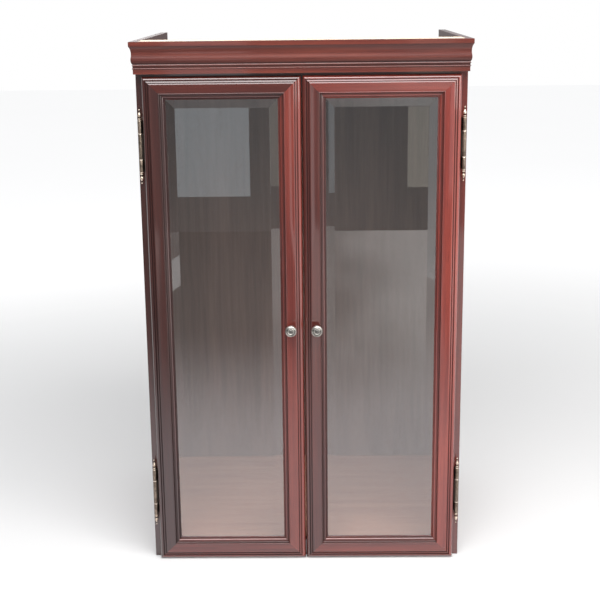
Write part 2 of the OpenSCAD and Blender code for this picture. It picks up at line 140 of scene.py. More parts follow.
class Graph:
    """The node tree of one material."""

    def __init__(self, name: str) -> None:
        """Starts a material with an empty tree."""
        self.material = bpy.data.materials.new(name)
        self.material.use_nodes = True
        self.tree = self.material.node_tree
        self.tree.nodes.clear()

    def add(self, kind: str, settings: dict[str, Any] | None = None,
            inputs: dict[Any, Any] | None = None, output: int | str = 0) -> Signal:
        """Adds a node, sets it up and links what feeds it.

        Args:
            kind: The node's type.
            settings: The node's own settings, with a ramp's colours under "stops".
            inputs: Values, signals or sockets, by the index or name of the input.
            output: The index or name of the output that is wanted.

        Returns:
            The wanted output.
        """
        node = self.tree.nodes.new(kind)
        for key, value in (settings or {}).items():
            if key == "stops":
                self._set_stops(node.color_ramp, value)
            else:
                setattr(node, key, value)
        for key, value in (inputs or {}).items():
            self._feed(node.inputs[key], value)
        return Signal(self, node.outputs[output])

    @staticmethod
    def _set_stops(ramp: bpy.types.ColorRamp, stops: Sequence[tuple[float, Colour]]) -> None:
        """Gives a ramp its colours.

        Args:
            ramp: The ramp.
            stops: The place and the colour of each stop.
        """
        while len(ramp.elements) < len(stops):
            ramp.elements.new(1.0)
        for element, (place, colour) in zip(ramp.elements, stops):
            element.position = place
            element.color = (*colour, 1.0)

    def _feed(self, socket: bpy.types.NodeSocket, value: Any) -> None:
        """Links a signal to an input, or sets its value.

        Args:
            socket: The input.
            value: A signal, or a value of the socket's own kind.
        """
        if isinstance(value, Signal):
            self.tree.links.new(value.socket, socket)
        elif isinstance(value, tuple) and len(value) == 3 and socket.type == "RGBA":
            socket.default_value = (*value, 1.0)
        else:
            socket.default_value = value

    def mix(self, share: Any, first: Any, second: Any) -> Signal:
        """Mixes two colours.

        Args:
            share: How much of the second colour there is.
            first: The colour at share 0.
            second: The colour at share 1.

        Returns:
            The mixed colour.
        """
        return self.add("ShaderNodeMix", {"data_type": "RGBA"}, {0: share, 6: first, 7: second}, 2)

    def place(self, scale: float | Point = 1.0, shift: Point = (0.0, 0.0, 0.0)) -> Signal:
        """A place on the object, moved and then stretched.

        Args:
            scale: How much each axis is stretched, or one number for all three.
            shift: How far the place is moved first, in metres.

        Returns:
            The stretched place.
        """
        stretch = scale if isinstance(scale, tuple) else (scale, scale, scale)
        raw = self.add("ShaderNodeTexCoord", output="Object")
        shifted = self.add("ShaderNodeVectorMath", {"operation": "ADD"}, {0: raw, 1: shift})
        return self.add("ShaderNodeVectorMath", {"operation": "MULTIPLY"}, {0: shifted, 1: stretch})

    def coordinate(self, axis: str) -> Signal:
        """How far along X, Y or Z a place on the object lies, in metres."""
        return self.add("ShaderNodeSeparateXYZ", None, {0: self.place()}, axis)

    def length(self, place: Signal) -> Signal:
        """How far a place is from the origin."""
        return self.add("ShaderNodeVectorMath", {"operation": "LENGTH"}, {0: place}, "Value")

    def noise(self, place: Signal, detail: float = 3.0, rough: float = 0.5, warp: float = 0.0) -> Signal:
        """Smooth noise from 0 to 1.

        Args:
            place: Where it is read, stretched to the fineness that is wanted.
            detail: How many finer layers are added.
            rough: How strong the finer layers are.
            warp: How much it is distorted.

        Returns:
            The noise's value.
        """
        inputs = {"Vector": place, "Scale": 1.0, "Detail": detail, "Roughness": rough, "Distortion": warp}
        return self.add("ShaderNodeTexNoise", None, inputs)

    def mark(self, name: str) -> Signal:
        """A value stored on the mesh's points."""
        return self.add("ShaderNodeAttribute", {"attribute_name": name}, output="Fac")

    def bump(self, height: Signal, distance: float, strength: float = 1.0) -> Signal:
        """A surface normal disturbed by a height."""
        inputs = {"Height": height, "Distance": distance, "Strength": strength}
        return self.add("ShaderNodeBump", None, inputs)

    def finish(self, **inputs: Any) -> bpy.types.Material:
        """Feeds the main shader and returns the material.

        Args:
            **inputs: The shader's inputs, with spaces in their names written as underscores.

        Returns:
            The finished material.
        """
        named = {key.replace("_", " "): value for key, value in inputs.items()}
        shader = self.add("ShaderNodeBsdfPrincipled", None, named)
        self.add_output(shader)
        return self.material

    def add_output(self, shader: Signal) -> None:
        """Links a shader to the material's surface."""
        out = self.tree.nodes.new("ShaderNodeOutputMaterial")
        self.tree.links.new(shader.socket, out.inputs["Surface"])


# ---------------------------------------------------------------- finishes


def along(grain: Grain, fineness: tuple[float, float]) -> Point:
    """A stretch that is fine across the grain and long along it.

    Args:
        grain: The direction of the grain.
        fineness: How fine the marks are across the grain and along it.

    Returns:
        The stretch of each axis.
    """
    across, lengthwise = fineness
    return tuple(lengthwise if axis == grain.value else across for axis in range(3))


@dataclass(frozen=True)
class LacqueredWood:
    """Dark red cherry under gloss lacquer, darker in the grooves with toner and painted shade."""

    name: str
    grain: Grain
    seed: int
    # On door members and frame stiles, tone also paints shade and light.
    tone: float = 1.0
    light: Colour = (0.165, 0.0235, 0.0135)
    dark: Colour = (0.062, 0.0062, 0.005)
    # The dark of the pores and the grooves; in the grooves it also paints shade.
    toner: Colour = (0.006, 0.0012, 0.001)
    roughness: float = 0.3
    specular: float = 0.28
    coat: float = 0.95
    coat_roughness: float = 0.07
    coat_index: float = 1.85
    figure: tuple[float, float] = (16.0, 1.3)
    streak: tuple[float, float] = (150.0, 3.0)
    pore: tuple[float, float] = (900.0, 22.0)
    cloud: float = 2.1
    ripple: float = 120.0
    pore_share: float = 0.35
    toner_share: float = 0.82
    groove_dullness: float = 0.42
    relief: float = 0.12 * MM

    def shade(self, colour: Colour) -> Colour:
        """A colour of the wood, as dark or light as this board is; on door members and frame stiles that
        carries painted shade and light.
        """
        return (colour[0] * self.tone, colour[1] * self.tone, colour[2] * self.tone)

    def material(self) -> bpy.types.Material:
        """Builds the wood with its figure, pores, toner and painted shade in the grooves, and faint
        unevenness of the lacquer.

        Returns:
            The finished material.
        """
        graph = Graph(f"{self.name}_{self.seed}")
        shift = (0.37 * self.seed, 0.61 * self.seed, 0.83 * self.seed)
        figure = graph.noise(graph.place(along(self.grain, self.figure), shift), 4.0, 0.55, 0.6)
        streak = graph.noise(graph.place(along(self.grain, self.streak), shift), 5.0, 0.62)
        pores = graph.noise(graph.place(along(self.grain, self.pore), shift), 2.0)
        cloud = graph.noise(graph.place(self.cloud, shift), 2.0)
        ripple = graph.noise(graph.place(self.ripple, shift), 1.0)
        tone = figure.stepped(0.3, 0.72) * 0.5 + streak.stepped(0.28, 0.75) * 0.42 + cloud * 0.2
        wood = graph.mix(tone.clamped(), self.shade(self.dark), self.shade(self.light))
        wood = graph.mix(pores.stepped(0.56, 0.72) * self.pore_share, wood, self.toner)
        # Darkens the grooves: partly toner, partly painted shade where shade falls in the creases.
        groove = (graph.mark("groove") + (cloud - 0.5) * 0.12).clamped()
        wood = graph.mix(groove * self.toner_share, wood, self.toner)
        height = pores * 0.25 + streak * 0.5 + ripple * 0.5
        return graph.finish(
            Base_Color=wood,
            Roughness=self.roughness + streak * 0.07 + groove * self.groove_dullness,
            Normal=graph.bump(height, self.relief, 0.35),
            Coat_Weight=(1.0 - groove) * self.coat,
            Coat_Roughness=self.coat_roughness,
            Coat_IOR=self.coat_index,
            Specular_IOR_Level=self.specular,
        )


@dataclass(frozen=True)
class PlainWood:
    """Wood with no gloss: stained boards inside and the unfinished strips behind the crown."""

    name: str
    grain: Grain
    seed: int
    light: Colour
    dark: Colour
    roughness: float = 0.55
    wax: float = 0.0
    figure: tuple[float, float] = (11.0, 0.9)
    streak: tuple[float, float] = (120.0, 4.0)
    pore: tuple[float, float] = (800.0, 30.0)
    rubbing: float = 7.0
    pore_share: float = 0.4
    relief: float = 0.2 * MM

    def material(self) -> bpy.types.Material:
        """Builds the wood with its figure, open pores, saw marks and handling marks.

        Returns:
            The finished material.
        """
        graph = Graph(f"{self.name}_{self.seed}")
        shift = (0.53 * self.seed, 0.29 * self.seed, 0.71 * self.seed)
        figure = graph.noise(graph.place(along(self.grain, self.figure), shift), 4.0, 0.6, 0.9)
        streak = graph.noise(graph.place(along(self.grain, self.streak), shift), 5.0, 0.65)
        pores = graph.noise(graph.place(along(self.grain, self.pore), shift), 2.0)
        rubbed = graph.noise(graph.place(self.rubbing, shift), 4.0, 0.6)
        tone = figure.stepped(0.3, 0.7) * 0.55 + streak.stepped(0.3, 0.75) * 0.45
        wood = graph.mix(tone.clamped(), self.dark, self.light)
        wood = graph.mix(pores.stepped(0.55, 0.75) * self.pore_share, wood, self.dark)
        return graph.finish(
            Base_Color=wood,
            Roughness=self.roughness + rubbed * 0.16 + pores * 0.05,
            Normal=graph.bump(streak * 0.6 + pores * 0.4, self.relief, 0.5),
            Coat_Weight=self.wax,
            Coat_Roughness=0.25,
        )


@dataclass(frozen=True)
class ClearGlass:
    """Clear polished plate, faintly green."""

    name: str = "bevelled_glass"
    tint: Colour = (0.955, 0.975, 0.968)
    index: float = 2.0

    def material(self) -> bpy.types.Material:
        """Builds the glass, which lets the lamps' light through to the inside.

        Returns:
            The finished material.
        """
        graph = Graph(self.name)
        inputs = {"Base Color": self.tint, "Roughness": 0.0, "Transmission Weight": 1.0, "IOR": self.index}
        plate = graph.add("ShaderNodeBsdfPrincipled", None, inputs)
        clear = graph.add("ShaderNodeBsdfTransparent", None, {"Color": self.tint})
        lamp = graph.add("ShaderNodeLightPath", output="Is Shadow Ray")
        graph.add_output(graph.add("ShaderNodeMixShader", None, {0: lamp, 1: plate, 2: clear}))
        return graph.material


@dataclass(frozen=True)
class AgedMetal:
    """Metal with a dark skin in its grooves, worn bright where hands and cloths reach; on hinges it also
    carries painted shade and painted highlights.
    """

    name: str
    bright: Colour
    dull: Colour
    skin: Colour
    roughness: float = 0.34
    axis: tuple[float, float] | None = None
    barrel: float = 4.5 * MM
    joints: tuple[float, ...] = ()
    ring: float = 1.2 * MM
    ring_colour: Colour = (0.8, 0.7, 0.6)
    fade: float = 0.5 * MM
    patch: float = 90.0
    pit: float = 420.0
    scratch: Point = (2200.0, 2200.0, 240.0)
    relief: float = 0.06 * MM

    def ring_share(self, away: Signal) -> Signal:
        """How much of a painted highlight ring shows at a height above or below a knuckle joint."""
        return 1.0 - away.absolute().stepped(self.ring, self.ring + self.fade)

    def material(self) -> bpy.types.Material:
        """Builds the metal with its patina, fine scratches and small pits.

        Returns:
            The metal. With an axis, painted shade darkens what lies outside the barrel around it, and with
            joints a painted highlight ring goes round at the height of each.
        """
        graph = Graph(self.name)
        patches = graph.noise(graph.place(self.patch), 4.0, 0.65, 0.4)
        pits = graph.noise(graph.place(self.pit), 3.0, 0.6)
        scratches = graph.noise(graph.place(self.scratch), 2.0)
        groove = graph.mark("groove") + (patches - 0.5) * 0.5
        # Painted shade: what lies outside the barrel, the webs of the hinge leaves, is darkened.
        if self.axis is not None:
            distance = graph.length(graph.place((1.0, 1.0, 0.0), (-self.axis[0], -self.axis[1], 0.0)))
            groove = groove + distance.stepped(self.barrel, self.barrel + self.fade) * 1.4
        groove = groove.clamped()
        metal = graph.mix(patches.stepped(0.35, 0.65), self.dull, self.bright)
        # Painted highlight: a pale ring at each knuckle joint.
        for joint in self.joints:
            metal = graph.mix(self.ring_share(graph.coordinate("Z") - joint), metal, self.ring_colour)
        return graph.finish(
            Base_Color=graph.mix(groove.stepped(0.25, 0.9), metal, self.skin),
            Roughness=self.roughness + patches * 0.16 + groove * 0.2,
            Metallic=1.0 - groove * 0.35,
            Normal=graph.bump(pits * 0.6 + scratches * 0.3, self.relief, 0.6),
        )


@dataclass(frozen=True)
class Moulded:
    """Plastic or felt: one colour with a fine texture of its own."""

    name: str
    colour: Colour
    roughness: float
    grain_scale: float
    relief: float
    sheen: float = 0.0

    def material(self) -> bpy.types.Material:
        """Builds the surface with its fine texture and a slight change of tone.

        Returns:
            The finished material.
        """
        graph = Graph(self.name)
        grain = graph.noise(graph.place(self.grain_scale), 3.0, 0.6)
        tone = graph.noise(graph.place(60.0), 2.0)
        shade = tuple(0.72 * part for part in self.colour)
        return graph.finish(
            Base_Color=graph.mix((tone * 0.7 + grain * 0.3).clamped(), shade, self.colour),
            Roughness=self.roughness + grain * 0.12,
            Normal=graph.bump(grain, self.relief, 0.7),
            Sheen_Weight=self.sheen,
        )


class Finishes:
    """Every finish of the armoire, each built once."""

    def __init__(self) -> None:
        """Starts with nothing built."""
        self._built: dict[Any, bpy.types.Material] = {}

    def get(self, finish: Any) -> bpy.types.Material:
        """The material of a finish."""
        if finish not in self._built:
            self._built[finish] = finish.material()
        return self._built[finish]


FINISHES = Finishes()
BRASS = AgedMetal("antique_brass", (0.3, 0.24, 0.19), (0.15, 0.118, 0.09), (0.012, 0.009, 0.007), 0.32)
# A much lighter copy of the brass, which paints the highlights of the turned tips.
BRASS_TIP_HIGHLIGHT = AgedMetal("worn_brass_tips", (0.82, 0.7, 0.58), (0.5, 0.4, 0.31), (0.022, 0.015, 0.011), 0.3)
BRASS_SCREW = AgedMetal("brass_screws", (0.5, 0.39, 0.26), (0.3, 0.22, 0.14), (0.04, 0.03, 0.02), 0.3)
PEWTER = AgedMetal("pewter", (0.66, 0.645, 0.6), (0.36, 0.35, 0.32), (0.014, 0.014, 0.013), 0.2)
STEEL = AgedMetal("steel", (0.72, 0.72, 0.7), (0.55, 0.55, 0.54), (0.12, 0.12, 0.12), 0.28)
MAGNET = AgedMetal("magnet", (0.55, 0.55, 0.56), (0.4, 0.4, 0.41), (0.06, 0.06, 0.06), 0.3)
PLASTIC = Moulded("brown_plastic", (0.035, 0.02, 0.014), 0.42, 900.0, 0.05 * MM)
FELT = Moulded("felt", (0.58, 0.54, 0.46), 0.9, 2600.0, 0.3 * MM, 0.4)
GLASS = ClearGlass()


# ---------------------------------------------------------------- mesh tools


SOFT_EDGE = 32.0
TURNED_EDGE = 38.0
ON_AXIS = 1e-6


@dataclass(frozen=True)
class ProfilePoint:
    """A point of a section: how far across and how far up or back it lies, and how much it is darkened,
    partly toner on wood and patina on metal, partly painted shade.
    """

    across: float
    rise: float
    groove: float = 0.0


Placing = Callable[[ProfilePoint], Point]


def arc(centre: tuple[float, float], radii: tuple[float, float], start: float, end: float,
        groove: tuple[float, float] = (0.0, 0.0), steps: int = 12) -> list[ProfilePoint]:
    """Points of an elliptical arc.

    Args:
        centre: The middle of the ellipse.
        radii: Its radii along the section's two directions.
        start: The first angle in degrees.
        end: The last angle in degrees.
        groove: The darkening at the first and the last point, partly toner on wood and patina on metal,
            partly painted shade.
        steps: How many parts the arc has.

    Returns:
        The points, from start to end.
    """
    points = []
    for i in range(steps + 1):
        share = i / steps
        angle = math.radians(start + (end - start) * share)
        across = centre[0] + radii[0] * math.cos(angle)
        rise = centre[1] + radii[1] * math.sin(angle)
        points.append(ProfilePoint(across, rise, groove[0] + (groove[1] - groove[0]) * share))
    return points


def shaded(obj: bpy.types.Object, angle: float = SOFT_EDGE) -> bpy.types.Object:
    """Smooths the shading of a mesh except over its sharp edges.

    Args:
        obj: The object with the mesh.
        angle: Edges sharper than this, in degrees, stay crisp.

    Returns:
        The same object.
    """
    mesh = obj.data
    mesh.polygons.foreach_set("use_smooth", [True] * len(mesh.polygons))
    build = bmesh.new()
    build.from_mesh(mesh)
    limit = math.radians(angle)
    for edge in build.edges:
        edge.smooth = len(edge.link_faces) == 2 and edge.calc_face_angle(0.0) < limit
    build.to_mesh(mesh)
    build.free()
    return obj


def mesh_object(name: str, build: bmesh.types.BMesh,
                groove: Sequence[float] | None = None) -> bpy.types.Object:
    """Turns a build into an object in the scene.

    Args:
        name: The piece's name.
        build: The mesh under construction, which is freed.
        groove: The darkening of each point, in order, partly toner on wood and patina on metal, partly
            painted shade.

    Returns:
        The new object.
    """
    bmesh.ops.recalc_face_normals(build, faces=build.faces)
    mesh = bpy.data.meshes.new(name)
    build.to_mesh(mesh)
    build.free()
    if groove is not None:
        mesh.attributes.new("groove", "FLOAT", "POINT").data.foreach_set("value", groove)
    obj = bpy.data.objects.new(name, mesh)
    bpy.context.scene.collection.objects.link(obj)
    return obj


def swept(name: str, section: Sequence[ProfilePoint], start: Placing, end: Placing) -> bpy.types.Object:
    """A straight piece with a closed section.

    Args:
        name: The piece's name.
        section: The closed section.
        start: Where a point of the section lies at one end.
        end: Where it lies at the other.

    Returns:
        The swept piece.
    """
    build = bmesh.new()
    rows = [[build.verts.new(placing(point)) for point in section] for placing in (start, end)]
    count = len(section)
    for i in range(count):
        j = (i + 1) % count
        build.faces.new((rows[0][i], rows[0][j], rows[1][j], rows[1][i]))
    build.faces.new(list(reversed(rows[0])))
    build.faces.new(rows[1])
    groove = [point.groove for point in section] * len(rows)
    return shaded(mesh_object(name, build, groove))


def turned(name: str, outline: Sequence[ProfilePoint], segments: int = 56) -> bpy.types.Object:
    """A piece turned about +Z.

    Args:
        name: The piece's name.
        outline: Radius and height of each point, from the axis to the axis.
        segments: How many steps a full turn has.

    Returns:
        The turned piece.
    """
    build = bmesh.new()
    rows: list[list[bmesh.types.BMVert]] = []
    groove: list[float] = []
    for point in outline:
        if point.across < ON_AXIS:
            rows.append([build.verts.new((0.0, 0.0, point.rise))])
            groove.append(point.groove)
            continue
        row = []
        for i in range(segments):
            angle = 2 * math.pi * i / segments
            spot = (point.across * math.cos(angle), point.across * math.sin(angle), point.rise)
            row.append(build.verts.new(spot))
            groove.append(point.groove)
        rows.append(row)
    for row, following in zip(rows, rows[1:]):
        for i in range(segments):
            j = (i + 1) % segments
            if len(row) == 1 and len(following) > 1:
                build.faces.new((row[0], following[i], following[j]))
            elif len(following) == 1 and len(row) > 1:
                build.faces.new((row[i], following[0], row[j]))
            elif len(row) > 1:
                build.faces.new((row[i], following[i], following[j], row[j]))
    return shaded(mesh_object(name, build, groove), TURNED_EDGE)


def moved(obj: bpy.types.Object, matrix: Matrix) -> bpy.types.Object:
    """Moves a piece's own points, so that the object stays at the origin."""
    obj.data.transform(matrix)
    return obj


def joined(name: str, parts: Sequence[bpy.types.Object]) -> bpy.types.Object:
    """Joins several objects into one piece.

    Args:
        name: The piece's name.
        parts: The objects, which the first of them takes in.

    Returns:
        The joined piece.
    """
    first = parts[0]
    with bpy.context.temp_override(active_object=first, selected_editable_objects=list(parts)):
        bpy.ops.object.join()
    first.name = name
    first.data.name = name
    return first


def carved(obj: bpy.types.Object, cutter: bpy.types.Object) -> bpy.types.Object:
    """Cuts one object out of another.

    Args:
        obj: The object that is cut.
        cutter: What it is cut with, which is removed.

    Returns:
        The cut object.
    """
    cut = obj.modifiers.new("cut", "BOOLEAN")
    cut.operation = "DIFFERENCE"
    cut.object = cutter
    cut.solver = "EXACT"
    result = bpy.data.meshes.new_from_object(obj.evaluated_get(bpy.context.evaluated_depsgraph_get()))
    obj.modifiers.clear()
    obj.data = result
    bpy.data.objects.remove(cutter)
    return obj


def block(name: str, low: Vector, high: Vector) -> bpy.types.Object:
    """A plain block between two corners.

    Args:
        name: The block's name.
        low: Its lowest corner.
        high: Its highest corner.

    Returns:
        The block.
    """
    build = bmesh.new()
    bmesh.ops.create_cube(build, size=1.0)
    size = high - low
    matrix = Matrix.Translation((low + high) / 2) @ Matrix.Diagonal((*size, 1.0))
    bmesh.ops.transform(build, matrix=matrix, verts=build.verts)
    return mesh_object(name, build)


def dress(obj: bpy.types.Object, finish: Any) -> bpy.types.Object:
    """Gives an object one finish."""
    obj.data.materials.clear()
    obj.data.materials.append(FINISHES.get(finish))
    return obj


def dress_node(node: str, finish: Any, ease: float = 0.0, steps: int = 2) -> None:
    """Gives a node of the frame its finish and eases its sharp edges.

    Args:
        node: The node's name.
        finish: Its finish.
        ease: The width of the rounding along its edges, or 0 for none.
        steps: How many steps the rounding has.
    """
    obj = dress(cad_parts[node], finish)
    if ease > 0:
        weld = obj.modifiers.new("weld", "WELD")
        weld.merge_threshold = 0.001 * MM
        bevel = obj.modifiers.new("ease", "BEVEL")
        bevel.width = ease
        bevel.segments = steps
        bevel.limit_method = "ANGLE"
        bevel.angle_limit = math.radians(40)
        bevel.harden_normals = True
    LOG.info("%s dressed", node)


def place(obj: bpy.types.Object, body: str, slot: str, nodes: Iterable[str]) -> None:
    """Hangs a piece on its body in place of the nodes that it stands for.

    Args:
        obj: The piece.
        body: The body that it moves with.
        slot: The record's material slot; not used.
        nodes: The nodes that it stands for.
    """
    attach(obj, body)
    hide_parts(*nodes)
    LOG.info("%s rides on %s", obj.name, body)


# ---------------------------------------------------------------- carcass


@dataclass
class Carcass:
    """The boards, the front frame and the catch inside."""

    ease: float = 0.8 * MM
    fine_ease: float = 0.3 * MM
    # Painted shade: the left frame stile is much darker than the right one.
    stile_tones: tuple[float, float] = (0.3, 0.9)
    top_light: Colour = (0.2, 0.075, 0.05)
    top_dark: Colour = (0.11, 0.04, 0.028)
    bottom_light: Colour = (0.42, 0.23, 0.17)
    bottom_dark: Colour = (0.28, 0.135, 0.1)
    back_light: Colour = (0.21, 0.13, 0.11)
    back_dark: Colour = (0.105, 0.062, 0.052)

    def build(self) -> None:
        """Dresses every board, rail and small fitting of the carcass."""
        for i, side in enumerate(Side):
            panel = LacqueredWood("side_panel", Grain.UP, 11 + i, 0.8, coat=0.4, coat_roughness=0.22)
            dress_node(f"{side.word}_side_panel", panel, self.ease)
            stile = LacqueredWood("frame_stile", Grain.UP, 21 + i, self.stile_tones[i])
            dress_node(f"{side.word}_frame_stile", stile, self.ease)
        for i, rail in enumerate(("frame_top_rail", "frame_bottom_rail")):
            dress_node(rail, LacqueredWood("frame_rail", Grain.ACROSS, 31 + i, 0.6), self.ease)
        top = PlainWood("top_board", Grain.ACROSS, 3, self.top_light, self.top_dark)
        dress_node("top_board", top, self.ease)
        bottom = PlainWood("bottom_board", Grain.ACROSS, 5, self.bottom_light, self.bottom_dark, 0.4, 0.3)
        dress_node("bottom_board", bottom, self.ease)
        back = PlainWood("back_panel", Grain.UP, 7, self.back_light, self.back_dark, 0.5)
        dress_node("back_panel", back, 0.4 * MM)
        dress_node("catch_body", PLASTIC, self.ease, 3)
        dress_node("catch_magnets", MAGNET, self.fine_ease)
        dress_node("catch_screws", STEEL, 0.2 * MM)


# ---------------------------------------------------------------- crown


@dataclass
class Crown:
    """The crown moulding with its mitred corners, its stiffener and its corner blocks."""

    body: str = "cabinet"
    thickness: float = 12 * MM
    flare: float = 8 * MM
    fillet: float = 12 * MM
    arris: float = 0.7 * MM
    bead: float = 1.5 * MM
    swell_at: tuple[float, float] = (0.6 * MM, 36 * MM)
    swell: tuple[float, float] = (3.4 * MM, 10 * MM)
    swell_end: float = 33.0
    hollow_at: tuple[float, float] = (2.56 * MM, 50 * MM)
    hollow_rise: float = 64.0
    wood: LacqueredWood = LacqueredWood("crown_wood", Grain.DEEP, 41, 0.78, (0.2, 0.035, 0.017), coat=0.7)
    raw_light: Colour = (0.93, 0.79, 0.62)
    raw_dark: Colour = (0.8, 0.63, 0.46)
    block_light: Colour = (0.74, 0.54, 0.36)
    block_dark: Colour = (0.6, 0.42, 0.27)

    def sweep(self, height: float) -> list[ProfilePoint]:
        """The smooth sweep of the crown: a swell that turns into a hollow.

        Args:
            height: The height of the crown.

        Returns:
            The points of the sweep, from below.
        """
        rise = math.radians(self.hollow_rise)
        across = (self.flare - 0.2 * MM - self.hollow_at[0]) / (1 - math.cos(rise))
        upright = (height - self.fillet - self.hollow_at[1]) / math.sin(rise)
        joint = self.swell_at[1] + self.swell[1] * math.sin(math.radians(self.swell_end))
        start = math.degrees(math.asin((self.hollow_at[1] - joint) / upright))
        # The underside of the swell and the top of the hollow, under the fillet, are darkened with painted
        # shade.
        points = arc(self.swell_at, self.swell, -75, self.swell_end, (0.9, 0.0), 20)
        centre = (self.hollow_at[0] + across, self.hollow_at[1])
        points += arc(centre, (across, upright), 180 + start - 1, 180 - self.hollow_rise, (0.0, 0.65), 24)
        return points

    def section(self, height: float) -> list[ProfilePoint]:
        """The crown's section: how far out from its foot's face, and how far up.

        Args:
            height: The height of the crown.

        Returns:
            The closed section.
        """
        flare = self.flare
        ease = self.arris
        inner = -self.thickness
        shoulder = height - self.fillet
        # The last value darkens: toner with painted shade in the quirks, painted shade on the lower halves
        # of the beads and on the inner face.
        points = [ProfilePoint(inner, 0, 0.7), ProfilePoint(-ease, 0, 0.6), ProfilePoint(0, ease)]
        points += [ProfilePoint(0, 12.0 * MM, 0.3), ProfilePoint(0, 12.5 * MM, 1.0)]
        points += arc((0.4 * MM, 14.0 * MM), (self.bead, self.bead), -80, 80, (0.5, 0.1))
        points += [ProfilePoint(0.2 * MM, 15.9 * MM, 1.0), ProfilePoint(0.2 * MM, 20.1 * MM, 0.8)]
        points += arc((0.4 * MM, 22.0 * MM), (self.bead, self.bead), -80, 80, (0.5, 0.1))
        points += [ProfilePoint(0.4 * MM, 24.5 * MM, 1.0)]
        points += self.sweep(height)
        points += [ProfilePoint(flare, shoulder + 0.6 * MM, 0.5), ProfilePoint(flare, shoulder + 1.6 * MM)]
        points += [ProfilePoint(flare, height - ease), ProfilePoint(flare - ease, height)]
        points += [ProfilePoint(inner + 1.0 * MM, height, 0.1), ProfilePoint(inner + 0.4 * MM, height, 0.4)]
        points += [ProfilePoint(inner, height - ease, 0.7)]
        return points

    def build(self) -> None:
        """Builds the front and both returns, and dresses the parts behind them."""
        low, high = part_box("crown_front")
        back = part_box("right_crown_return")[1].y
        section = self.section(high.z - low.z)
        foot_x = high.x - self.flare
        foot_y = low.y + self.flare

        def at_mitre(sign: int) -> Placing:
            """Where the section lies on the mitre of one corner."""
            return lambda point: (sign * (foot_x + point.across), foot_y - point.across, low.z + point.rise)

        def at_back(sign: int) -> Placing:
            """Where the section lies at the back end of one return."""
            return lambda point: (sign * (foot_x + point.across), back, low.z + point.rise)

        front = swept("crown_front_moulding", section, at_mitre(-1), at_mitre(1))
        dress(front, replace(self.wood, grain=Grain.ACROSS))
        place(front, self.body, "crown_cherry", ["crown_front"])
        for side in Side:
            sign = side.value
            piece = swept(f"{side.word}_crown_moulding", section, at_mitre(sign), at_back(sign))
            dress(piece, replace(self.wood, seed=43 + sign))
            place(piece, self.body, "crown_cherry", [f"{side.word}_crown_return"])
            raw_block = PlainWood("raw_block", Grain.UP, 14 + sign, self.block_light, self.block_dark, 0.66)
            dress_node(f"{side.word}_corner_block", raw_block, 0.6 * MM)
        raw = PlainWood("raw_wood", Grain.ACROSS, 9, self.raw_light, self.raw_dark, 0.62)
        dress_node("crown_stiffener", raw, 0.8 * MM)


# ---------------------------------------------------------------- doors


@dataclass(frozen=True)
class DoorTones:
    """How light each member is, where 1 is the wood's own tone: partly the wood's own variation, partly
    painted shade and light, darker on the left and lighter on the right.
    """

    hinge_stile: float
    meeting_stile: float
    top_rail: float
    bottom_rail: float


# Partly painted shade and light: the members on the left are darker and those on the right lighter.
DOOR_TONES_AND_SHADE = {Side.LEFT: DoorTones(0.28, 1.2, 0.5, 0.95), Side.RIGHT: DoorTones(1.75, 0.55, 1.35, 1.0)}


